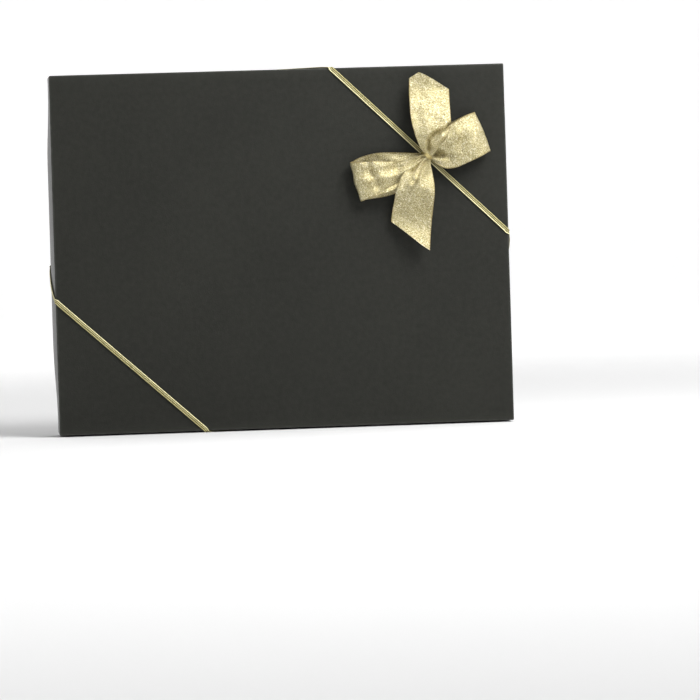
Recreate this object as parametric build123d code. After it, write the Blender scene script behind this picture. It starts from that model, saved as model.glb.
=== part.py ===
# Gift box standing on one long edge: lift-off lid over a base tray, elastic loop and ribbon bow.
# Millimetres. X is the width, Y the depth with the lid's face toward -Y, Z is up.
# Z = 0 is the underside of the elastic loop where it passes below the box.
import os
from math import atan, degrees, hypot

from build123d import *

# box sizes
WIDTH = 280.0              # outside width of the lid
HEIGHT = 220.0             # outside height of the lid as it stands
DEPTH = 32.0               # lid face to the back of the base
BASE_PROUD = 0.5           # the base stands this far behind the lid's rim
LID_CLEARANCE = 0.65       # gap between the lid's lining and the base, each side

# sheet materials
LID_BOARD_T = 1.2
BASE_BOARD_T = 1.2
WRAP_T = 0.25              # covering paper
STAY_T = 0.15              # paper tape over the board corners
LINER_T = 0.2              # paper lining of each tray
STAY_REACH = 12.0          # tape width on each side of a corner
STAY_MARGIN = 0.2          # tape ends short of the wrap's folds
LID_TURN_IN = 15.0         # covering paper folded over the lid's rim
BASE_TURN_IN = 15.0        # covering paper folded over the base's rim
LID_LINER_GAP = 0.4        # lid lining to the board walls
BASE_LINER_GAP = 1.0       # base lining to the board walls
SEAM_INSET = 1.2           # wrap seam to the corner, on the long walls
SEAM_W = 0.3
SEAM_DEPTH = 0.12

# elastic loop: where it crosses the front edges, and its shift across each wall
CORD_W = 3.1
CORD_T = 1.0
CROSS_TOP_X = 32.9         # from the middle of the box
CROSS_RIGHT_Z = 6.0
CROSS_BOTTOM_X = -49.9
CROSS_LEFT_Z = -27.8
WALL_SHIFT_SIDE = 20.0     # along the edge, while crossing a short wall
WALL_SHIFT_LONG = 35.0     # along the edge, while crossing a long wall

# clip that joins the ends of the loop, under the bow
CLIP_LENGTH = 8.0
CLIP_T = 0.3

# bow: outlines from the front, measured from its knot; the knot is on the elastic
KNOT_X = 90.5
BOW_TILT = -44.2           # degrees from +X that the tie lies at, along the elastic
RIBBON_T = 0.5
NECK_ALONG = 4.0           # pinched ribbon, across the loop of elastic
NECK_W = 5.6               # pinched ribbon, along the elastic
LOOPS_NECK_T = 4.0
TAILS_NECK_T = 2.0
TIE_T = 0.6
TIE_W = 2.6
LOOP_END_R = 6.2           # half the depth of a loop near its end
LOOP_LIFT = 3.0            # loop centre in front of the neck's centre
LOOP_NECK_HALF = 1.0
RIGHT_LOOP_AIM = 21.5      # degrees from +X
RIGHT_LOOP_REACH = 38.0
RIGHT_LOOP = [(1.9, -1.9), (3.4, -0.5), (7.1, -6.0), (12.4, -7.9), (18.6, -6.7), (32.1, -0.4),
              (43.5, 4.8), (34.6, 27.4), (25.9, 24.4), (20.5, 22.4), (15.1, 17.7), (0.5, 3.6),
              (-0.6, 3.4), (-1.9, 1.9)]
LEFT_LOOP_AIM = 194.3
LEFT_LOOP_REACH = 46.3
LEFT_LOOP = [(-1.9, 1.9), (-3.4, 0.5), (-16.4, 2.4), (-29.7, 2.9), (-38.6, 1.0), (-51.0, -3.8),
             (-44.8, -28.2), (-26.3, -25.8), (-19.0, -21.5), (-11.0, -15.0), (0.6, -3.4),
             (1.9, -1.9)]
UPPER_TAIL = [(-1.9, 1.9), (-0.6, 3.4), (-4.0, 4.9), (-7.6, 15.6), (-9.4, 27.1), (-9.7, 38.6),
              (-9.5, 48.2), (-3.6, 51.6), (-0.5, 51.1), (15.4, 40.6), (15.5, 30.9), (15.1, 18.5),
              (9.4, 8.1), (3.4, -0.5), (1.9, -1.9)]
LOWER_TAIL = [(-1.9, 1.9), (-3.4, 0.5), (-12.4, -7.2), (-18.9, -16.7), (-20.9, -23.8),
              (-23.1, -38.7), (-0.5, -57.9), (1.7, -38.5), (3.5, -20.0), (2.6, -7.6), (0.6, -3.4),
              (1.9, -1.9)]
# how far in front of the lid's face each tail's middle lies, at distances from the knot
UPPER_RISE = [(0.0, 6.9), (3.4, 7.0), (9.0, 10.2), (17.0, 11.8), (30.0, 9.8), (53.0, 4.0)]
LOWER_RISE = [(0.0, 6.9), (3.4, 7.0), (9.0, 10.4), (17.0, 12.2), (28.0, 11.8), (60.0, 4.0)]

FACE_Y = -DEPTH / 2                    # the lid's face
BACK_Y = DEPTH / 2                     # the back of the base
RIM_Y = BACK_Y - BASE_PROUD            # the lid's rim
MID_Z = CORD_T + HEIGHT / 2            # middle of the box
HALF_W, HALF_H = WIDTH / 2, HEIGHT / 2
CORD_SLOPE = (CROSS_RIGHT_Z - HALF_H) / (HALF_W - CROSS_TOP_X)
KNOT_Z = HALF_H + (KNOT_X - CROSS_TOP_X) * CORD_SLOPE      # the knot sits on the elastic


def slab(y0, y1, inset):
    """A plate over the whole face, between two depths, its edges inset from the lid's outside."""
    y0, y1 = min(y0, y1), max(y0, y1)
    size = (WIDTH - 2 * inset, y1 - y0, HEIGHT - 2 * inset)
    return Pos(0, (y0 + y1) / 2, MID_Z) * Box(*size)


def ring(y0, y1, outer, inner):
    """Four walls between two depths, from one inset to a larger one."""
    return slab(y0, y1, outer) - slab(y0, y1, inner)


def tray(face_y, rim_y, outside, board_t, turn_in, liner_gap):
    """Board, wrap, four corner stays and lining of one tray, whose face is at face_y."""
    into = 1 if rim_y > face_y else -1     # from the face toward the rim
    board_out = outside + WRAP_T + STAY_T
    board_in = board_out + board_t
    inside = board_in + WRAP_T
    skin_y = face_y + into * WRAP_T        # face side of the board
    floor_y = skin_y + into * board_t      # inner side of the board
    edge_y = rim_y - into * WRAP_T         # the board's rim
    board = slab(skin_y, floor_y, board_out) + ring(skin_y, edge_y, board_out, board_in)
    wrap = slab(face_y, skin_y, outside)
    wrap += ring(face_y, rim_y, outside, outside + WRAP_T)
    wrap += ring(edge_y, rim_y, outside, inside)
    wrap += ring(edge_y - into * turn_in, edge_y, board_in, inside)
    seams = Box(SEAM_W, abs(rim_y - face_y), SEAM_DEPTH)
    for sx in (-1, 1):
        for sz in (-1, 1):
            x = sx * (HALF_W - outside - SEAM_INSET)
            z = MID_Z + sz * (HALF_H - outside - SEAM_DEPTH / 2)
            wrap -= Pos(x, (face_y + rim_y) / 2, z) * seams
    tape = ring(skin_y + into * STAY_MARGIN, edge_y - into * STAY_MARGIN,
                outside + WRAP_T, board_out)
    stays = []
    for sx, sz in ((-1, 1), (1, 1), (1, -1), (-1, -1)):
        corner = Pos(sx * (HALF_W - board_out), 0, MID_Z + sz * (HALF_H - board_out))
        stays.append(tape & corner * Box(2 * STAY_REACH, 4 * DEPTH, 2 * STAY_REACH))
    liner = slab(floor_y, floor_y + into * LINER_T, board_in + liner_gap)
    return board, wrap, stays, liner, inside, floor_y + into * LINER_T


def half_width(run, along_x):
    """Half of the width that the cord takes up along an edge, for a run of du by dv."""
    du, dv = run
    across = abs(dv) if along_x else abs(du)
    return CORD_W / 2 * hypot(du, dv) / across


def elastic_loop():
    """The closed loop: two runs on the front, two on the back and one on each wall."""
    top_back = CROSS_TOP_X - WALL_SHIFT_LONG
    right_back = CROSS_RIGHT_Z - WALL_SHIFT_SIDE
    bottom_back = CROSS_BOTTOM_X + WALL_SHIFT_LONG
    left_back = CROSS_LEFT_Z + WALL_SHIFT_SIDE
    upper = (HALF_W - CROSS_TOP_X, HALF_H - CROSS_RIGHT_Z)
    lower = (HALF_W + CROSS_BOTTOM_X, HALF_H + CROSS_LEFT_Z)
    hx = {"top": half_width(upper, True), "right": half_width(upper, False),
          "bottom": half_width(lower, True), "left": half_width(lower, False)}

    def face_run(long_x, long_v, side_v, side_u, long_key, side_key, y0, y1):
        a, b = hx[long_key], hx[side_key]
        pts = [(long_x - a, long_v), (long_x + a, long_v),
               (side_u, side_v + b), (side_u, side_v - b)]
        if (long_v > 0) != (side_u > 0):
            pts = [pts[0], pts[1], pts[3], pts[2]]
        flat = Plane.XZ * Polygon(*pts, align=None)
        return Pos(0, y1, MID_Z) * extrude(flat, y1 - y0, dir=(0, -1, 0))

    def wall_run(axis, front, back, half, sign):
        y0, y1 = FACE_Y, BACK_Y
        if axis == "x":
            pts = [(front - half, y0), (front + half, y0), (back + half, y1), (back - half, y1)]
            z0 = MID_Z + HALF_H if sign > 0 else MID_Z - HALF_H - CORD_T
            return Pos(0, 0, z0) * extrude(Polygon(*pts, align=None), CORD_T, dir=(0, 0, 1))
        pts = [(y0, front - half), (y0, front + half), (y1, back + half), (y1, back - half)]
        x0 = HALF_W if sign > 0 else -HALF_W - CORD_T
        flat = Plane.YZ * Polygon(*pts, align=None)
        return Pos(x0, 0, MID_Z) * extrude(flat, CORD_T, dir=(1, 0, 0))

    def knuckle(x0, x1, y0, y1, z0, z1):
        mid = ((x0 + x1) / 2, (y0 + y1) / 2, (z0 + z1) / 2)
        return Pos(*mid) * Box(x1 - x0, y1 - y0, z1 - z0)

    front, back = (FACE_Y - CORD_T, FACE_Y), (BACK_Y, BACK_Y + CORD_T)
    loop = face_run(CROSS_TOP_X, HALF_H, CROSS_RIGHT_Z, HALF_W, "top", "right", *front)
    loop += face_run(CROSS_BOTTOM_X, -HALF_H, CROSS_LEFT_Z, -HALF_W, "bottom", "left", *front)
    loop += face_run(bottom_back, -HALF_H, right_back, HALF_W, "bottom", "right", *back)
    loop += face_run(top_back, HALF_H, left_back, -HALF_W, "top", "left", *back)
    loop += wall_run("x", CROSS_TOP_X, top_back, hx["top"], 1)
    loop += wall_run("x", CROSS_BOTTOM_X, bottom_back, hx["bottom"], -1)
    loop += wall_run("z", CROSS_RIGHT_Z, right_back, hx["right"], 1)
    loop += wall_run("z", CROSS_LEFT_Z, left_back, hx["left"], -1)
    for y0, y1, where in ((front[0], front[1], 0), (back[0], back[1], 1)):
        for sign, key, x in ((1, "top", (CROSS_TOP_X, top_back)[where]),
                             (-1, "bottom", (CROSS_BOTTOM_X, bottom_back)[where])):
            z0 = MID_Z + sign * HALF_H + min(0, sign * CORD_T)
            loop += knuckle(x - hx[key], x + hx[key], y0, y1, z0, z0 + CORD_T)
        for sign, key, z in ((1, "right", (CROSS_RIGHT_Z, right_back)[where]),
                             (-1, "left", (CROSS_LEFT_Z, left_back)[where])):
            x0 = sign * HALF_W + min(0, sign * CORD_T)
            z += MID_Z
            loop += knuckle(x0, x0 + CORD_T, y0, y1, z - hx[key], z + hx[key])
    return loop


def at_knot(shape, y, tilt=0.0):
    """Stand a shape built in the XY plane on the lid's face at the knot, turned in that face."""
    return Pos(KNOT_X, y, MID_Z + KNOT_Z) * Rot(0, -tilt, 0) * shape


def outline(points):
    """A prism through the whole bow, with this outline from the front."""
    flat = Plane.XZ * Polygon(*points, align=None)
    return Pos(KNOT_X, FACE_Y, MID_Z + KNOT_Z) * extrude(flat, 60.0, dir=(0, -1, 0))


def ribbon_loop(points, aim, reach, neck_y):
    """A hollow loop of ribbon that widens from the neck to a round end."""
    centre = (reach - LOOP_END_R, -LOOP_LIFT)
    body = Polygon((0, LOOP_NECK_HALF), (0, -LOOP_NECK_HALF), (centre[0], centre[1] - LOOP_END_R),
                   (centre[0], centre[1] + LOOP_END_R), align=None)
    outer = body + Pos(*centre) * Circle(LOOP_END_R)
    shell = outer - offset(outer, -RIBBON_T)
    return at_knot(extrude(shell, 40.0, both=True), neck_y, aim) & outline(points)


def tail(points, rise, up):
    """One tail of ribbon, bent in depth along its length and cut to its outline."""
    path = Spline(*[(FACE_Y - y, MID_Z + KNOT_Z + up * d) for d, y in rise])
    band = extrude(Plane.YZ * trace(path, line_width=RIBBON_T), 40.0, both=True)
    return Pos(KNOT_X, 0, 0) * band & outline(points)


def main_parts():
    parts = {}
    lid = tray(FACE_Y, RIM_Y, 0.0, LID_BOARD_T, LID_TURN_IN, LID_LINER_GAP)
    parts["lid_board"], parts["lid_wrap"], lid_stays, parts["lid_liner"] = lid[:4]
    base = tray(BACK_Y, lid[5], lid[4] + LID_CLEARANCE, BASE_BOARD_T, BASE_TURN_IN,
                BASE_LINER_GAP)
    parts["base_board"], parts["base_wrap"], base_stays, parts["base_liner"] = base[:4]
    for i in range(4):
        parts[f"lid_stay_{i + 1}"] = lid_stays[i]
        parts[f"base_stay_{i + 1}"] = base_stays[i]

    parts["elastic_loop"] = elastic_loop()

    clip_h = CORD_T + CLIP_T
    clip = Box(CLIP_LENGTH, clip_h, CORD_W + 2 * CLIP_T)
    clip -= Pos(0, CLIP_T, 0) * Box(CLIP_LENGTH, clip_h, CORD_W)
    parts["loop_clip"] = at_knot(clip, FACE_Y - clip_h / 2, degrees(atan(CORD_SLOPE)))

    neck_back = FACE_Y - clip_h - TIE_T
    loops_y = neck_back - LOOPS_NECK_T / 2
    tails_y = neck_back - LOOPS_NECK_T - TAILS_NECK_T / 2
    neck = at_knot(Box(NECK_W, LOOPS_NECK_T, NECK_ALONG), loops_y, BOW_TILT)
    neck += ribbon_loop(RIGHT_LOOP, RIGHT_LOOP_AIM, RIGHT_LOOP_REACH, loops_y)
    parts["bow_loops"] = neck + ribbon_loop(LEFT_LOOP, LEFT_LOOP_AIM, LEFT_LOOP_REACH, loops_y)
    neck = at_knot(Box(NECK_W, TAILS_NECK_T, NECK_ALONG), tails_y, BOW_TILT)
    parts["bow_tails"] = neck + tail(UPPER_TAIL, UPPER_RISE, 1) + tail(LOWER_TAIL, LOWER_RISE, -1)
    around = LOOPS_NECK_T + TAILS_NECK_T
    tie = Box(NECK_W + 2 * TIE_T, around + 2 * TIE_T, TIE_W) - Box(NECK_W, around, TIE_W)
    parts["bow_tie"] = at_knot(tie, neck_back - around / 2, BOW_TILT)
    return parts


os.makedirs("parts", exist_ok=True)
for name, solid in main_parts().items():
    export_step(solid, f"parts/{name}.step")
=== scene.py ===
import math
import bmesh
import bpy
from mathutils import Matrix, Vector, noise


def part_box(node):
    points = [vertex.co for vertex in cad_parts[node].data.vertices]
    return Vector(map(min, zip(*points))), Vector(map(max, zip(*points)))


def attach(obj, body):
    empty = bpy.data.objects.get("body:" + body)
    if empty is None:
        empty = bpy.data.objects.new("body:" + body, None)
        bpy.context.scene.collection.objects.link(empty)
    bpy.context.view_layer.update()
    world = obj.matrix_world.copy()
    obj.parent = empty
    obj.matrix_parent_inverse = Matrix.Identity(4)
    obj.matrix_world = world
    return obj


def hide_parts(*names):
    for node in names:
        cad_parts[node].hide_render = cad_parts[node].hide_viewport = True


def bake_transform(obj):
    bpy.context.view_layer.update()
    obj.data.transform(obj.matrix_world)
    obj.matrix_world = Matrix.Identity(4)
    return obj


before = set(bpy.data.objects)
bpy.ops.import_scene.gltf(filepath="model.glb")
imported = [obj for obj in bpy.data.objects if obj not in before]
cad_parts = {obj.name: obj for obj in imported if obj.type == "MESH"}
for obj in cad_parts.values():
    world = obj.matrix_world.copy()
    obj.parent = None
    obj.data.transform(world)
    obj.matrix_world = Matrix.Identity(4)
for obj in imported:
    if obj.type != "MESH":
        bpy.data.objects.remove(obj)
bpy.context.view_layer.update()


# Camera. A long lens almost straight in front of the lid's face, a little to its left.
# The box stands in the upper left of the frame and the horizon leans a little.
(lid_x0, lid_y0, lid_z0), (lid_x1, lid_y1, lid_z1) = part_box("lid_wrap")
mid_z = (lid_z0 + lid_z1) / 2
azimuth, elevation, roll = math.radians(-4.8), math.radians(0.4), math.radians(-1.77)
distance = 2.4698
ahead = Vector((-math.sin(azimuth) * math.cos(elevation), math.cos(azimuth) * math.cos(elevation),
                -math.sin(elevation)))
right = ahead.cross(Vector((0, 0, 1))).normalized()
up = right.cross(ahead)
right, up = (right * math.cos(roll) + up * math.sin(roll),
             up * math.cos(roll) - right * math.sin(roll))
bpy.ops.object.camera_add()
camera = bpy.context.object
camera.matrix_world = Matrix.Translation(Vector((0, 0, mid_z)) - ahead * distance) @ Matrix(
    (right, up, -ahead)).transposed().to_4x4()
camera.data.sensor_width = 36
camera.data.lens = 205.7143
camera.data.shift_x, camera.data.shift_y = 0.0993286, -0.1448571
camera.data.clip_end = 20
bpy.context.scene.camera = camera


# Studio. A round pale sheet is the floor and curves up into a wall all round; it is lit from
# within away from the box, except in front. Soft lights stand to the upper right and left of
# the box, and two more hang over the floor.
class Wire:
    """One output of a material's nodes, so that shader maths is written as arithmetic."""

    def __init__(self, tree, socket=None):
        self.tree, self.socket = tree, socket

    def node(self, kind, settings=None, sockets=None, out=0):
        made = self.tree.nodes.new("ShaderNode" + kind)
        for name, value in (settings or {}).items():
            setattr(made, name, value)
        for name, value in (sockets or {}).items():
            if isinstance(value, Wire):
                self.tree.links.new(value.socket, made.inputs[name])
            else:
                made.inputs[name].default_value = value
        return Wire(self.tree, made.outputs[out])

    def sum(self, operation, *terms):
        return self.node("Math", {"operation": operation}, dict(enumerate(terms)))

    def __add__(self, other):
        return self.sum("ADD", self, other)

    def __sub__(self, other):
        return self.sum("SUBTRACT", self, other)

    def __mul__(self, other):
        return self.sum("MULTIPLY", self, other)

    def __truediv__(self, other):
        return self.sum("DIVIDE", self, other)

    def __rsub__(self, other):
        return self.sum("SUBTRACT", other, self)

    def __abs__(self):
        return self.sum("ABSOLUTE", self)

    __radd__, __rmul__ = __add__, __mul__

    def step(self, low, high):
        """0 below low, 1 above high and smooth between them."""
        return self.node("MapRange", {"interpolation_type": "SMOOTHSTEP"},
                         {"Value": self, "From Min": low, "From Max": high})

    def mix(self, a, b):
        """Colour a where this is 0, colour b where it is 1."""
        a, b = [c if isinstance(c, Wire) else (*c, 1) for c in (a, b)]
        return self.node("Mix", {"data_type": "RGBA"}, {0: self, 6: a, 7: b}, 2)

    def axes(self):
        split = self.node("SeparateXYZ", None, {0: self}).socket.node
        return [Wire(self.tree, s) for s in split.outputs]

    def noise(self, scale, detail=2.0, stretch=(1, 1, 1)):
        point = self.node("Mapping", None, {"Vector": self, "Scale": stretch})
        return self.node("TexNoise", None, {"Vector": point, "Scale": scale, "Detail": detail})


def material(name, **constants):
    """A new Principled material with its constant sockets set, and its Object coordinates."""
    made = bpy.data.materials.new(name)
    made.use_nodes = True
    shader = made.node_tree.nodes["Principled BSDF"]
    for socket, value in constants.items():
        shader.inputs[socket.replace("_", " ")].default_value = value
    where = Wire(made.node_tree).node("TexCoord", out=3)
    return made, shader, where


def feed(made, shader, **wires):
    """Links what changes over the surface to the shader; Bump is a height and its depth."""
    for socket, wire in wires.items():
        if socket == "Bump":
            height, depth = wire
            wire = height.node("Bump", None, {"Height": height, "Distance": depth})
            socket = "Normal"
        made.node_tree.links.new(wire.socket, shader.inputs[socket.replace("_", " ")])


def give(piece, made):
    piece.data.materials.clear()
    piece.data.materials.append(made)


bpy.ops.object.select_all(action="DESELECT")
studio_r, wall_h, curve_r = 3.4, 3.0, 1.4
bpy.ops.mesh.primitive_circle_add(vertices=128, radius=studio_r, fill_type="NGON")
floor = bpy.context.object
floor.name = "floor"
bpy.ops.object.mode_set(mode="EDIT")
bpy.ops.mesh.select_all(action="SELECT")
bpy.ops.mesh.extrude_edges_move(TRANSFORM_OT_translate={"value": (0, 0, wall_h)})
mesh = bmesh.from_edit_mesh(floor.data)
for edge in mesh.edges:
    edge.select_set(all(v.co.z < 0.01 for v in edge.verts))
bmesh.update_edit_mesh(floor.data)
bpy.ops.mesh.bevel(offset=curve_r, segments=24)
bpy.ops.object.mode_set(mode="OBJECT")
bpy.ops.object.shade_smooth()
made, shader, where = material("studio paper", Roughness=0.9, Specular_IOR_Level=0.1,
                               Emission_Strength=1.0)
tone = where.noise(1.5)
away = where.node("VectorMath", {"operation": "LENGTH"}, {0: where}, 1)
back = where.axes()[1]
lit = away.step(0.25, 1.7) * back.step(-1.6, 0.4)
feed(made, shader, Base_Color=tone.mix((0.73, 0.73, 0.73), (0.76, 0.76, 0.76)),
     Emission_Color=lit.mix((0, 0, 0), (0.52, 0.52, 0.52)))
give(floor, made)

world = bpy.data.worlds.new("studio")
world.use_nodes = True
world.node_tree.nodes["Background"].inputs["Color"].default_value = (1, 1, 1, 1)
world.node_tree.nodes["Background"].inputs["Strength"].default_value = 0.08
bpy.context.scene.world = world
bpy.context.scene.view_settings.view_transform = "Standard"
# each light: its place, what it points at, its size, its spread in degrees and its power
lights = [((0.55, -0.70, 1.05), (0, 0, 0.12), 0.60, 180, 12),
          ((0.36, -0.38, 0.54), (0.05, 0, 0.14), 0.34, 180, 1.8),
          ((0.32, -0.14, 0.60), (0.1, -0.02, 0.2), 0.22, 180, 0.8),
          ((-1.9, -1.3, 0.7), (0, 0, 0.1), 1.2, 180, 2.4),
          ((0, -1.3, 1.7), (0, -1.3, 0), 1.2, 70, 2.2),
          ((0, 0.8, 3.0), (0, 0.8, 0), 2.6, 180, 36)]
for place, aim, size, spread, power in lights:
    bpy.ops.object.light_add(type="AREA", location=place)
    lamp = bpy.context.object
    lamp.data.size, lamp.data.energy, lamp.data.spread = size, power, math.radians(spread)
    lamp.rotation_euler = (Vector(aim) - Vector(place)).to_track_quat("-Z", "Y").to_euler()
    lamp.visible_camera = False


# Lid wrap. Black paper glued over the chipboard, folded sharply at the face's edges,
# over the rim and 15 mm down the inside. The glue pulls the short walls a little outwards.
paper_t = 0.00025
wall_t = 0.00185      # board with paper on both sides
turn_in = 0.015
face_edge_r = 0.0008
rim_edge_r = 0.0006
left_bow = 0.0016
right_bow = 0.0013
wall_steps = (35, 8, 28)      # lengths that the walls are cut into, along X, Y and Z


def pick(piece, kind, test):
    """Selects the faces, edges or points that pass the test, in edit mode."""
    bpy.ops.mesh.select_mode(type={"faces": "FACE", "edges": "EDGE", "verts": "VERT"}[kind])
    bpy.ops.mesh.select_all(action="DESELECT")
    mesh = bmesh.from_edit_mesh(piece.data)
    for item in getattr(mesh, kind):
        if test(item):
            item.select_set(True)
    mesh.select_flush_mode()
    bmesh.update_edit_mesh(piece.data)


def open_box(name, low, high, rim_y, edge_r):
    """A box with rounded edges, open at its rim, its walls cut into short lengths."""
    bpy.ops.object.select_all(action="DESELECT")
    middle = [(a + b) / 2 for a, b in zip(low, high)]
    bpy.ops.mesh.primitive_cube_add(size=1, location=middle)
    piece = bpy.context.object
    piece.name = name
    piece.scale = [b - a for a, b in zip(low, high)]
    bpy.ops.object.transform_apply(location=True, scale=True)
    bpy.ops.object.mode_set(mode="EDIT")
    pick(piece, "faces", lambda f: abs(f.calc_center_median().y - rim_y) < 1e-5)
    bpy.ops.mesh.delete(type="ONLY_FACE")
    pick(piece, "edges", lambda e: not all(abs(v.co.y - rim_y) < 1e-5 for v in e.verts))
    bpy.ops.mesh.bevel(offset=edge_r, segments=4)
    for axis, count in enumerate(wall_steps):
        normal = [0, 0, 0]
        normal[axis] = 1
        for i in range(1, count):
            cut = list(middle)
            cut[axis] = low[axis] + (high[axis] - low[axis]) * i / count
            bpy.ops.mesh.select_all(action="SELECT")
            bpy.ops.mesh.bisect(plane_co=cut, plane_no=normal)
    return piece


def wall_share(depth):
    """How much of its bow a wall has, from 0 at the face's edge to 1 over its outer third."""
    return math.sin(math.pi / 2 * min(1, depth / 0.65))


def bow_walls(piece, face_y, rim_y, half):
    """Moves the lid's short walls outwards, most at the rim and not at the corners."""
    for point in piece.data.vertices:
        x, y, z = point.co.x, point.co.y, point.co.z - mid_z
        share = wall_share((y - face_y) / (rim_y - face_y))
        t = min(1, max(0, (half[1] - abs(z) - 0.010) / 0.045))
        if abs(x) > half[0] - 0.003:
            point.co.x += (right_bow if x > 0 else -left_bow) * share * t * t * (3 - 2 * t)


def solidify(piece, thickness, offset):
    hard = piece.modifiers.new("thickness", "SOLIDIFY")
    hard.thickness, hard.offset = thickness, offset
    bpy.ops.object.modifier_apply(modifier=hard.name)


def paper_tray(name, low, high, face_y, rim_y):
    """One sheet of paper over a tray: face, walls, fold over the rim, and turned-in edge."""
    piece = open_box(name, low, high, rim_y, face_edge_r)
    into = 1 if rim_y > face_y else -1
    wide, tall = high[0] - low[0], high[2] - low[2]

    def at_rim(edge):
        return all(abs(v.co.y - rim_y) < 1e-6 for v in edge.verts)

    pick(piece, "edges", at_rim)
    bpy.ops.mesh.extrude_edges_move()
    bpy.ops.transform.resize(value=(1 - 2 * wall_t / wide, 1, 1 - 2 * wall_t / tall),
                             center_override=(0, rim_y, mid_z))
    bpy.ops.mesh.extrude_edges_move(TRANSFORM_OT_translate={"value": (0, -into * turn_in, 0)})
    bpy.ops.mesh.select_all(action="SELECT")
    bpy.ops.mesh.remove_doubles(threshold=1e-6)
    bpy.ops.mesh.normals_make_consistent(inside=False)
    pick(piece, "edges", lambda e: at_rim(e) and sum(
        abs(f.normal.y) > 0.9 for f in e.link_faces) == 1)
    bpy.ops.mesh.bevel(offset=rim_edge_r, segments=3)
    for share in (0.25, 0.5, 0.75):
        cut = rim_y - into * turn_in * share
        pick(piece, "faces", lambda f: abs(f.calc_center_median().x) < wide / 2 - wall_t * 0.7
             and abs(f.calc_center_median().z - mid_z) < tall / 2 - wall_t * 0.7
             and abs(f.calc_center_median().y - face_y) > 1e-4)
        bpy.ops.mesh.bisect(plane_co=(0, cut, 0), plane_no=(0, 1, 0))
    bpy.ops.mesh.select_all(action="SELECT")
    bpy.ops.mesh.normals_make_consistent(inside=False)
    bpy.ops.object.mode_set(mode="OBJECT")
    return piece


lid_half = (lid_x1 - lid_x0) / 2, (lid_z1 - lid_z0) / 2
lid_paper = paper_tray("lid_paper", (lid_x0, lid_y0, lid_z0), (lid_x1, lid_y1, lid_z1), lid_y0,
                       lid_y1)
bow_walls(lid_paper, lid_y0, lid_y1, lid_half)
solidify(lid_paper, paper_t, -1)


def black_paper(name, half, face_y):
    """Matte black embossed paper with seams, its folds paler from wear and a painted highlight."""
    made, shader, where = material(name, Specular_IOR_Level=0.25)
    centred = where.node("Mapping", None, {"Vector": where, "Location": (0, 0, -mid_z)})
    x, y, z = centred.axes()
    side, top, front = abs(x) - half[0], abs(z) - half[1], abs(y - face_y) * -1
    near = 0.0014
    at_side, at_top, at_front = [((wall + near) / near).step(0, 1) for wall in (side, top, front)]
    ridge = at_side * at_top + at_side * at_front + at_top * at_front
    fold_wear_and_highlight = (where.noise(240, 4) - 0.35).step(0, 0.4)
    on_long_wall = top.step(-0.0008, -0.0006)
    seam = (1 - abs(side + 0.0012).step(0.00008, 0.00022)) * on_long_wall
    # painted light: the paper is made paler towards the side walls, and more towards the top wall
    painted_wall_light = side.step(-0.006, 0) * 0.4 + top.step(-0.007, 0) * 0.9
    cloudy = where.noise(14, 3)
    blotch = where.noise(320, 2)
    grain = where.noise(2600, 2)
    emboss = where.node("TexVoronoi", {"feature": "SMOOTH_F1"}, {"Vector": where, "Scale": 1400})
    tint = (cloudy * 0.4 + blotch * 0.4 + grain * 0.2).step(0.25, 0.75)
    colour = tint.mix((0.0108, 0.0113, 0.0083), (0.0190, 0.0196, 0.0152))
    colour = (painted_wall_light * 0.3).mix(colour, (0.032, 0.033, 0.027))
    # painted highlight: the folded edges are made paler, partly as wear, partly for the light they
    # catch
    colour = (ridge.step(0, 1) * (fold_wear_and_highlight * 0.4 + 0.3)).mix(colour, (0.075, 0.077, 0.068))
    colour = (seam * 0.75).mix(colour, (0.012, 0.012, 0.011))
    rubbed = side.step(-0.0008, -0.0002) * 0.26
    feed(made, shader, Base_Color=colour, Roughness=grain * 0.16 + 0.5 + cloudy * 0.08 - rubbed,
         Bump=(grain * 0.35 + emboss * 0.9 - seam * 3 + cloudy * 2, 0.00005))
    return made


give(lid_paper, black_paper("lid black paper", lid_half, lid_y0))
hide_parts("lid_wrap")
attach(lid_paper, "lid")


# Lid board. 1.2 mm grey chipboard, scored, folded up and taped; the walls follow the bowed
# paper. It shows only as a strip inside the lid, between the turned-in paper and the lining.
board_t = 0.0012
fold_r = 0.0004
(board_x0, board_y0, board_z0), (board_x1, board_y1, board_z1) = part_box("lid_board")
lid_core = open_box("lid_chipboard", (board_x0, board_y0, board_z0),
                    (board_x1, board_y1, board_z1), board_y1, fold_r)
bpy.ops.mesh.select_all(action="SELECT")
bpy.ops.mesh.normals_make_consistent(inside=False)
bpy.ops.object.mode_set(mode="OBJECT")
bow_walls(lid_core, lid_y0, lid_y1, (board_x1, (board_z1 - board_z0) / 2))
solidify(lid_core, board_t, -1)
chipboard, shader, where = material("grey chipboard", Specular_IOR_Level=0.2)
fibre = where.noise(900, 6, (1, 1, 0.35))
fleck = where.noise(2500, 2).step(0.66, 0.74)
grey = fibre.step(0.3, 0.7).mix((0.20, 0.185, 0.155), (0.30, 0.28, 0.24))
feed(chipboard, shader, Base_Color=(fleck * 0.6).mix(grey, (0.10, 0.09, 0.075)),
     Roughness=fibre * 0.1 + 0.82, Bump=(fibre, 0.00008))
give(lid_core, chipboard)
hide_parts("lid_board")
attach(lid_core, "lid")


# Corner tape. Brown gummed kraft paper, wetted and stuck round each corner of both boards to
# hold their walls up. The wrap covers it.
made, shader, where = material("kraft tape", Specular_IOR_Level=0.25)
fibre = where.noise(1300, 5, (1, 0.3, 1))
feed(made, shader, Base_Color=fibre.step(0.3, 0.7).mix((0.30, 0.19, 0.10), (0.42, 0.28, 0.16)),
     Roughness=fibre * 0.15 + 0.65, Bump=(fibre, 0.00004))
for number in range(1, 5):
    for tray in ("lid", "base"):
        give(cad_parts[f"{tray}_stay_{number}"], made)


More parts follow.
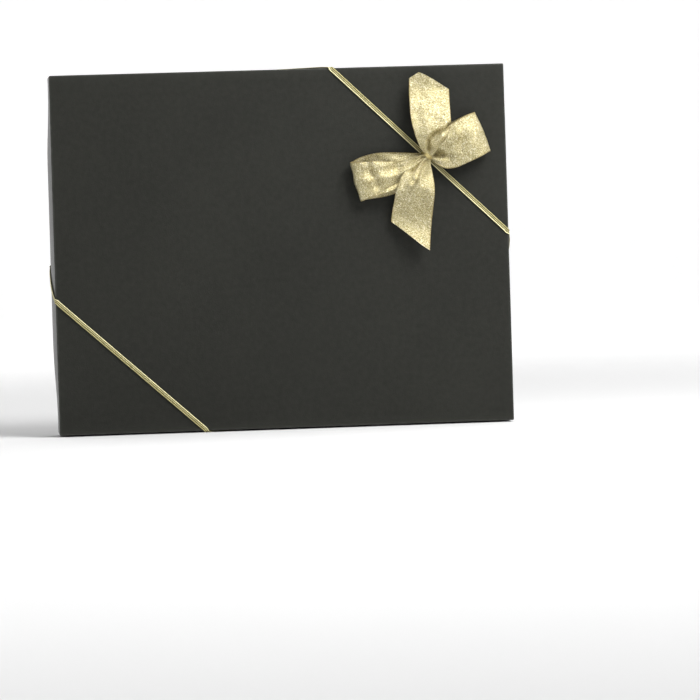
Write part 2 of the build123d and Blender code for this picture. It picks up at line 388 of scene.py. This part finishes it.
# Linings. A sheet of smooth matte black paper, cut a little smaller than the tray and glued
# in: one inside the lid's face and one on the base's floor.
made, shader, where = material("lining paper", Specular_IOR_Level=0.3)
fibre = where.noise(1800, 4)
feed(made, shader, Base_Color=fibre.step(0.3, 0.7).mix((0.018, 0.018, 0.017), (0.027, 0.027, 0.025)),
     Roughness=fibre * 0.12 + 0.62, Bump=(fibre, 0.00003))
give(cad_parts["lid_liner"], made)
give(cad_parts["base_liner"], made)


# Base. The same board and paper in a slightly smaller tray that the lid slides over.
# Its walls are held straight by the lid; its back is what shows from behind.
(base_x0, base_y0, base_z0), (base_x1, base_y1, base_z1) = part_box("base_wrap")
base_half = (base_x1 - base_x0) / 2, (base_z1 - base_z0) / 2
base_paper = paper_tray("base_paper", (base_x0, base_y0, base_z0), (base_x1, base_y1, base_z1),
                        base_y1, base_y0)
solidify(base_paper, paper_t, -1)
give(base_paper, black_paper("base black paper", base_half, base_y1))
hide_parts("base_wrap")
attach(base_paper, "base")
give(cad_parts["base_board"], chipboard)


# Elastic loop. A flat braid of three rubber-cored ribs covered in gold metallic yarn, in one
# closed loop over two corners of the lid and two of the base. It stretches on the four walls.
cross_top, cross_right, cross_bottom, cross_left = 0.0329, 0.0060, -0.0499, -0.0278
shift_side, shift_long = 0.020, 0.035
out = {"front": Vector((0, -1, 0)), "back": Vector((0, 1, 0)), "right": Vector((1, 0, 0)),
       "left": Vector((-1, 0, 0)), "top": Vector((0, 0, 1)), "bottom": Vector((0, 0, -1))}
hw, hh = lid_half
press = 0.45      # share of its thickness that the braid loses over an edge
lift = 0.0005      # the base's back stands this far behind the lid's rim
# each crossing: the edge's point, the faces before and after it, and its rounding
crossings = [
    ((hw, lid_y0, mid_z + cross_right), "front", "right", face_edge_r),
    ((hw + right_bow, lid_y1, mid_z + cross_right - shift_side), "right", "back", rim_edge_r),
    ((cross_bottom + shift_long, lid_y1, mid_z - hh), "back", "bottom", rim_edge_r),
    ((cross_bottom, lid_y0, mid_z - hh), "bottom", "front", face_edge_r),
    ((-hw, lid_y0, mid_z + cross_left), "front", "left", face_edge_r),
    ((-hw - left_bow, lid_y1, mid_z + cross_left + shift_side), "left", "back", rim_edge_r),
    ((cross_top - shift_long, lid_y1, mid_z + hh), "back", "top", rim_edge_r),
    ((cross_top, lid_y0, mid_z + hh), "top", "front", face_edge_r),
]
wall_bow = {"left": left_bow, "right": right_bow}


def drift(turn, slopes):
    """How far the braid has moved along an edge, in radii, when it has turned this far."""
    return slopes[0] * turn + (slopes[1] - slopes[0]) * turn * turn / math.pi


# the line under the braid: a place, the direction out of the box, and the share of thickness
line = []
for i, (corner, before, after, round_r) in enumerate(crossings):
    corner, came = Vector(corner), Vector(crossings[i - 1][0])
    goes = Vector(crossings[(i + 1) % len(crossings)][0])
    n1, n2 = out[before], out[after]
    along = n1.cross(n2)
    slopes = []
    for run, toward in ((corner - came, n2), (goes - corner, -n1)):
        slopes.append(run.dot(along) / abs(run.dot(toward)))
    centre = corner - round_r * (n1 + n2)
    for k in range(9):
        turn = math.pi / 2 * k / 8
        normal = n1 * math.cos(turn) + n2 * math.sin(turn)
        place = centre + round_r * normal
        place += along * round_r * (drift(turn, slopes) - drift(math.pi / 4, slopes))
        line.append((place, normal.normalized(), 1 - press))
    last, face, _ = line[-1]
    reach = goes - last
    count = max(2, int(reach.length / (0.0015 if face.y == 0 else 0.003)))
    for k in range(1, count):
        place = last + reach * (k / count)
        if after == "back":
            inner = min(hw - abs(place.x), hh - abs(place.z - mid_z)) / 0.003
            place.y += lift * min(1, max(0, inner))
        if after in wall_bow:
            depth = (place.y - lid_y0) / (lid_y1 - lid_y0)
            place += n2 * wall_bow[after] * (wall_share(depth) - depth)
        free = min((place - last).length, (goes - place).length)
        if (goes - place).length > 0.0012:
            line.append((place, face, 1 - press * max(0, 1 - free / 0.005)))

# the braid's section: three round ribs side by side on a flat back
rib_gap, rib_half, rib_low, rib_high = 0.00103, 0.00052, 0.0004, 0.0006
back_half, back_gap = 0.00148, 0.00003
section = [(-back_half, back_gap)]
for k in (-1, 0, 1):
    for j in range(7):
        a = math.pi * (1 - j / 6)
        section.append((k * rib_gap + rib_half * math.cos(a), rib_low + rib_high * math.sin(a)))
section.append((back_half, back_gap))
points, quads, marks = [], [], []
travel, lengths = 0.0, []
for i, (place, normal, high) in enumerate(line):
    before, after = line[i - 1][0], line[(i + 1) % len(line)][0]
    side = (after - before).normalized().cross(normal).normalized()
    points += [place + side * s + normal * n * high for s, n in section]
    lengths.append(travel)
    travel += (after - place).length
for i in range(len(line)):
    j, end = (i + 1) % len(line), lengths[i + 1] if i + 1 < len(line) else travel
    for k in range(len(section)):
        m = (k + 1) % len(section)
        first, second = i * len(section), j * len(section)
        quads.append((first + k, first + m, second + m, second + k))
        near, far = section[k][0], section[m][0] if m else back_half
        marks += [(lengths[i], near), (lengths[i], far), (end, far), (end, near)]
mesh = bpy.data.meshes.new("gold_elastic")
mesh.from_pydata(points, [], quads)
layer = mesh.uv_layers.new(name="yarn")
for loop, mark in zip(layer.data, marks):
    loop.uv = (mark[0] * 100, mark[1] * 100)
elastic = bpy.data.objects.new("gold_elastic", mesh)
bpy.context.collection.objects.link(elastic)
bpy.ops.object.select_all(action="DESELECT")
elastic.select_set(True)
bpy.context.view_layer.objects.active = elastic
bpy.ops.object.shade_smooth_by_angle(angle=math.radians(50))

made, shader, where = material("gold yarn", Metallic=0.6, Specular_IOR_Level=0.5)
yarn = where.node("UVMap", {"uv_map": "yarn"})
u, v, _ = yarn.axes()
crest = yarn.node("Math", {"operation": "COSINE"}, {0: v * (math.tau / rib_gap / 100)})
turns = yarn.node("Math", {"operation": "SINE"}, {0: u * 95 + abs(v * 40)})
glint = yarn.noise(70, 3)
highlit_rib = v.step(0.02, 0.07)
# painted shading: dark gold in the grooves between the ribs; one rib gets a painted highlight, and
# the glints are painted too
gold = crest.step(-0.8, 0.5).mix((0.05, 0.042, 0.012), (0.50, 0.445, 0.18))
gold = (highlit_rib * crest.step(-0.8, 0.3)).mix(gold, (0.92, 0.86, 0.50))
gold = (turns.step(-0.2, 1.0) * crest.step(-0.6, 0.6) * 0.4).mix(gold, (0.85, 0.79, 0.44))
gold = (glint.step(0.5, 0.7) * crest.step(-0.6, 0.6) * 0.6).mix(gold, (0.95, 0.91, 0.62))
gold = ((1 - glint.step(0.28, 0.45)) * 0.6).mix(gold, (0.20, 0.17, 0.06))
feed(made, shader, Base_Color=gold, Roughness=0.55 - glint * 0.3,
     Bump=(turns * 0.5 + glint * 0.6, 0.0001))
give(elastic, made)
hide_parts("elastic_loop")
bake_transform(elastic)


# Bow. Two loops and two tails of 25 mm gold metallic ribbon, gathered at the middle. Each is
# a strip laid between two edges, given as stations from the knot: right, up, and out of the lid.
ribbon_w = 0.025
ribbon_t = 0.0003
tie_low, tie_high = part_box("bow_tie")
knot = Vector(((tie_low[0] + tie_high[0]) / 2, lid_y0, (tie_low[2] + tie_high[2]) / 2))


def smooth(stations, t):
    """A point on the smooth curve through the stations, t from 0 to 1."""
    n = len(stations) - 1
    i = min(int(t * n), n - 1)
    f = t * n - i
    p = [Vector(stations[max(0, min(n, i + k))]) for k in (-1, 0, 1, 2)]
    return 0.5 * (2 * p[1] + (p[2] - p[0]) * f + (2 * p[0] - 5 * p[1] + 4 * p[2] - p[3]) * f ** 2
                  + (3 * p[1] - p[0] - 3 * p[2] + p[3]) * f ** 3)


def off_line(place, line):
    """How far a place is from a line of points, both given as right and up."""
    away = []
    for start, end in zip(line, line[1:]):
        run = Vector(end) - Vector(start)
        share = max(0, min(1, (place.xy - Vector(start)).dot(run) / run.dot(run)))
        away.append((place.xy - Vector(start) - run * share).length)
    return min(away)


def strip(name, edge_a, edge_b, rows, cols, pleats, phase, trim=None, crown=0.0, seed=0.0,
          folds=(), tuck=1.3, calm=None):
    """A ribbon between two edges in millimetres, gathered into pleats where they are close.
    Each fold of its front is a line, its width and how far it stands out or sinks in."""
    full = ribbon_w * 1000
    points, faces, marks = [], [], []
    for i in range(rows + 1):
        t = i / rows
        for j in range(cols + 1):
            s = j / cols
            reach = t * (trim(s) if trim else 1)
            a, b = smooth(edge_a, reach), smooth(edge_b, reach)
            ahead = (smooth(edge_a, min(1, reach + 0.01)) + smooth(edge_b, min(1, reach + 0.01))
                     - smooth(edge_a, max(0, reach - 0.01)) - smooth(edge_b, max(0, reach - 0.01)))
            face = (b - a).cross(ahead).normalized()
            width = (b - a).length
            spare = max(0, full / max(width, 1) - 1)
            depth = min(tuck, width / (math.tau * pleats) * math.sqrt(spare) * 1.5)
            place = a.lerp(b, s)
            swing = math.sin(2 * math.pi * pleats * (s + phase))
            place += face * (depth * swing * math.sin(math.pi * s) ** 0.5)
            place += face * (crown * math.sin(math.pi * s) * min(1, width / full))
            wave = noise.noise(place * 0.11 + Vector((seed, 0, seed))) * 0.9
            wave += noise.noise(place * 0.3 + Vector((0, seed, 0))) * 0.25
            if calm is not None:
                wave *= min(1, abs(reach - calm) * 7)
            place += face * wave * min(1, reach * 4) * min(1, width / full)
            if face.z > 0:
                flat = place.copy()
                for line, wide, deep in folds:
                    place += face * deep * math.exp(-(off_line(flat, line) / wide) ** 2)
            points.append(knot + Vector((place.x, -place.z, place.y)) * 0.001)
            marks.append((s * full, reach))
    for i in range(rows):
        for j in range(cols):
            k = i * (cols + 1) + j
            faces.append((k, k + 1, k + cols + 2, k + cols + 1))
    mesh = bpy.data.meshes.new(name)
    mesh.from_pydata(points, [], faces)
    run = sum((smooth(edge_a, (i + 1) / 40) - smooth(edge_a, i / 40)).length
              for i in range(40))
    layer = mesh.uv_layers.new(name="weave")
    for loop in mesh.loops:
        s, t = marks[loop.vertex_index]
        layer.data[loop.index].uv = (s / 10, t * run / 10)
    piece = bpy.data.objects.new(name, mesh)
    bpy.context.collection.objects.link(piece)
    return piece, run / 1000


# each edge of a loop: along its back, out to its end, and forward again to the knot
left_top = [(-1.8, 1.7, 2.6), (-7, 2.0, 3.0), (-14, 2.5, 3.6), (-23, 2.9, 4.0), (-32, 2.7, 3.8),
            (-41, 0.6, 3.6), (-46.5, -2.0, 4.2), (-47.8, -2.4, 5.8), (-46.9, -2.6, 8.0),
            (-40.8, -2.6, 10.4), (-32.3, -2.4, 11.4), (-23.3, -2.8, 10.8), (-14.8, -2.2, 9.0),
            (-7.6, -0.4, 6.8), (-1.8, 1.7, 4.8)]
left_bottom = [(1.8, -1.7, 2.6), (-2.6, -7.0, 1.8), (-8.8, -15.0, 1.1), (-17.6, -21.4, 0.9),
               (-26.4, -24.0, 0.9), (-34.9, -25.2, 1.4), (-40.7, -25.9, 2.8), (-41.9, -26.4, 5.0),
               (-41.0, -26.3, 7.2), (-35.0, -24.0, 9.6), (-26.6, -21.9, 10.4), (-18.4, -18.8, 9.4),
               (-10.2, -12.6, 8.0), (-3.8, -6.2, 6.4), (1.8, -1.7, 4.8)]
right_top = [(-1.8, 1.7, 2.6), (1.5, 8.0, 1.9), (4.5, 14.0, 1.2), (10.0, 18.2, 1.0),
             (17.2, 21.2, 1.0), (24.0, 24.3, 1.4), (28.9, 25.9, 3.0), (29.7, 26.2, 5.4),
             (28.9, 26.0, 7.8), (23.9, 24.0, 10.2), (17.4, 20.8, 11.0), (11.1, 16.6, 10.0),
             (5.8, 10.6, 8.0), (1.6, 5.6, 6.2), (-1.8, 1.7, 4.8)]
right_bottom = [(1.8, -1.7, 2.6), (5.8, -5.2, 1.8), (11.8, -7.9, 1.1), (18.8, -7.3, 0.9),
                (26.0, -4.2, 0.9), (33.0, -1.0, 1.4), (38.0, 1.4, 2.8), (38.9, 1.9, 5.0),
                (38.1, 1.8, 7.4), (33.2, -0.8, 9.8), (25.4, -4.2, 10.4), (18.0, -7.1, 9.2),
                (11.0, -7.6, 7.4), (5.0, -4.8, 5.8), (1.8, -1.7, 4.8)]
left_folds = [(((-37.5, -4.0), (-35.4, -10.5), (-31.6, -16.1)), 2.3, -1.6),
              (((-31.6, -7.6), (-29.4, -6.6)), 3.6, 1.2),
              (((-20.0, -5.5), (-17.0, -15.0)), 3.0, -1.3),
              (((-32.0, -22.6), (-19.5, -16.2)), 1.0, -1.1),
              (((-8.0, -1.6), (-20.0, -4.2)), 1.0, -0.9)]
right_folds = [(((4.4, 1.0), (8.2, 0.1)), 1.8, -2.0),
               (((4.4, 1.0), (12.4, -1.1)), 2.6, -1.9),
               (((7.6, 6.6), (21.1, 12.8)), 3.0, 0.9),
               (((19.9, 3.6), (22.6, 13.0)), 2.4, -1.1),
               (((27.5, 6.0), (30.5, 14.0)), 2.6, 0.8)]
left_loop, left_run = strip("left_loop", left_top, left_bottom, 180, 36, 2, 0.1, crown=0.6,
                            folds=left_folds, tuck=0.8, calm=0.5)
right_loop, right_run = strip("right_loop", right_bottom, right_top, 180, 36, 2, 0.35,
                              crown=0.6, seed=4.0, folds=right_folds, tuck=0.7, calm=0.5)
upper_left = [(-1.9, 1.8, 6.9), (-4.4, 4.9, 8.0), (-6.9, 10.4, 10.2), (-8.7, 16.0, 11.6),
              (-10.0, 22.5, 11.4), (-10.5, 30.0, 10.0), (-10.5, 38.6, 8.2), (-10.3, 46.0, 7.8),
              (-10.1, 53.0, 9.0)]
upper_right = [(1.7, -1.6, 6.9), (4.2, 2.2, 8.4), (8.6, 8.1, 10.2), (12.2, 13.2, 11.4),
               (14.2, 18.6, 11.2), (14.3, 26.0, 10.0), (14.2, 33.0, 8.6), (14.2, 40.6, 7.8),
               (14.0, 52.0, 8.8)]
lower_left = [(-1.8, 1.7, 6.9), (-7.2, -2.0, 7.6), (-13.1, -7.4, 8.8), (-17.7, -13.2, 11.0),
              (-20.4, -20.0, 11.2), (-21.9, -28.0, 7.6), (-22.9, -34.5, 5.2),
              (-23.5, -39.5, 4.6), (-24.0, -48.5, 6.8)]
lower_right = [(1.8, -1.7, 6.9), (1.6, -5.6, 7.6), (2.0, -11.0, 10.8), (2.3, -17.0, 16.2),
               (2.2, -23.0, 17.8), (1.7, -31.0, 13.4), (1.0, -40.0, 8.8), (0.1, -49.0, 8.0),
               (-0.8, -57.8, 10.0)]
upper_folds = [(((0.0, 3.6), (0.7, 9.9), (4.1, 13.7), (10.0, 15.9), (13.4, 18.6)), 1.1, -2.6),
               (((3.6, 6.4), (8.8, 12.0)), 2.0, 1.9)]
lower_folds = [(((-3.6, -0.7), (-10.1, -8.8)), 0.9, -2.0),
               (((-2.0, -3.6), (-6.2, -9.4), (-9.0, -15.6)), 1.0, -1.5),
               (((0.0, -9.0), (-4.6, -17.4), (-6.0, -19.0)), 2.2, 1.0),
               (((-10.5, -16.1), (-10.1, -14.6)), 1.4, -1.8)]


def upper_cut(s):
    return 0.908 + 0.067 * s / 0.24 if s < 0.24 else 0.975 - 0.1 * (s - 0.24) / 0.76


def lower_cut(s):
    return 0.997 - 0.12 * s


upper_tail, upper_run = strip("upper_tail", upper_left, upper_right, 120, 36, 2, 0.2, upper_cut,
                              0.8, 9.0, upper_folds, 0.3)
lower_tail, lower_run = strip("lower_tail", lower_right, lower_left, 120, 36, 2, 0.6, lower_cut,
                              0.8, 15.0, lower_folds, 0.5)

made, shader, where = material("gold ribbon", Metallic=0.8, Specular_IOR_Level=0.5)
weave = where.node("UVMap", {"uv_map": "weave"})
u, v, _ = weave.axes()
weft = weave.node("Math", {"operation": "SINE"}, {0: v * 190})
warp = weave.node("Math", {"operation": "SINE"}, {0: u * 150})
threads = weave.node("Mapping", None, {"Vector": weave, "Scale": (1, 1.7, 1)})
facet = weave.node("TexVoronoi", None, {"Vector": threads, "Scale": 20}, 1).axes()[0]
fleck = weave.noise(19, 2)
cloud = weave.noise(2.2, 3)
# flecks of metal thread, dark to pale at random; the palest are turned into painted glints
flecks_and_glints = facet * 0.6 + fleck * 0.8
gold = flecks_and_glints.step(0.35, 0.9).mix((0.27, 0.217, 0.080), (0.65, 0.578, 0.325))
gold = (cloud.step(0.35, 0.75) * 0.25).mix(gold, (0.70, 0.62, 0.36))
gold = (flecks_and_glints.step(0.85, 1.05) * 0.8).mix(gold, (0.95, 0.92, 0.76))
gold = (abs(u - 1.25).step(1.17, 1.235) * 0.6).mix(gold, (0.26, 0.185, 0.06))
feed(made, shader, Base_Color=gold, Roughness=0.44 - flecks_and_glints.step(0.7, 1.0) * 0.1,
     Bump=(facet * 0.9 + fleck * 0.6 + weft * warp * 0.15, 0.0002))
for name, strips, nodes in (("bow_loops_ribbon", (left_loop, right_loop), "bow_loops"),
                            ("bow_tails_ribbon", (upper_tail, lower_tail), "bow_tails")):
    bpy.ops.object.select_all(action="DESELECT")
    for piece in strips:
        piece.select_set(True)
    bpy.context.view_layer.objects.active = strips[0]
    bpy.ops.object.join()
    piece = bpy.context.object
    piece.name = name
    solidify(piece, ribbon_t, 0)
    bpy.ops.object.shade_smooth_by_angle(angle=math.radians(60))
    give(piece, made)
    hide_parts(nodes)
    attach(piece, "lid")
left_run + right_run
upper_run + lower_run


# Tie and clip. Three turns of thin gold wire hold the gathers and the elastic together. The
# clip that joins the elastic's ends is pressed brass, under the bow.
wire_r, turn_r, turn_gap = 0.00034, 0.0031, 0.00075
turn_deep = 1.12      # each turn is this much longer out of the lid than it is wide
tie_out = 0.0049
bpy.ops.object.select_all(action="DESELECT")
turns = []
tilt = math.atan2(cross_right - hh, hw - cross_top)
for shift in (-turn_gap, 0, turn_gap):
    bpy.ops.mesh.primitive_torus_add(major_radius=turn_r, minor_radius=wire_r,
                                     major_segments=48, minor_segments=10)
    turn = bpy.context.object
    turn.data.transform(Matrix.Diagonal((1, turn_deep, 1, 1)))
    turn.data.transform(Matrix.Translation((0, 0, shift)))
    turn.data.transform(Matrix.Rotation(-tilt, 4, "Y"))
    turn.data.transform(Matrix.Translation(knot + Vector((0, -tie_out, 0))))
    turns.append(turn)
for turn in turns:
    turn.select_set(True)
bpy.context.view_layer.objects.active = turns[0]
bpy.ops.object.join()
tie = bpy.context.object
tie.name = "bow_wire"
bpy.ops.object.shade_smooth()
made, shader, where = material("gold wire", Metallic=0.95, Specular_IOR_Level=0.5)
scratch = where.noise(3000, 3)
feed(made, shader, Base_Color=scratch.mix((0.52, 0.43, 0.18), (0.76, 0.66, 0.34)),
     Roughness=scratch * 0.2 + 0.32, Bump=(scratch, 0.00002))
give(tie, made)
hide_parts("bow_tie")
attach(tie, "lid")
give(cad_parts["loop_clip"], made)
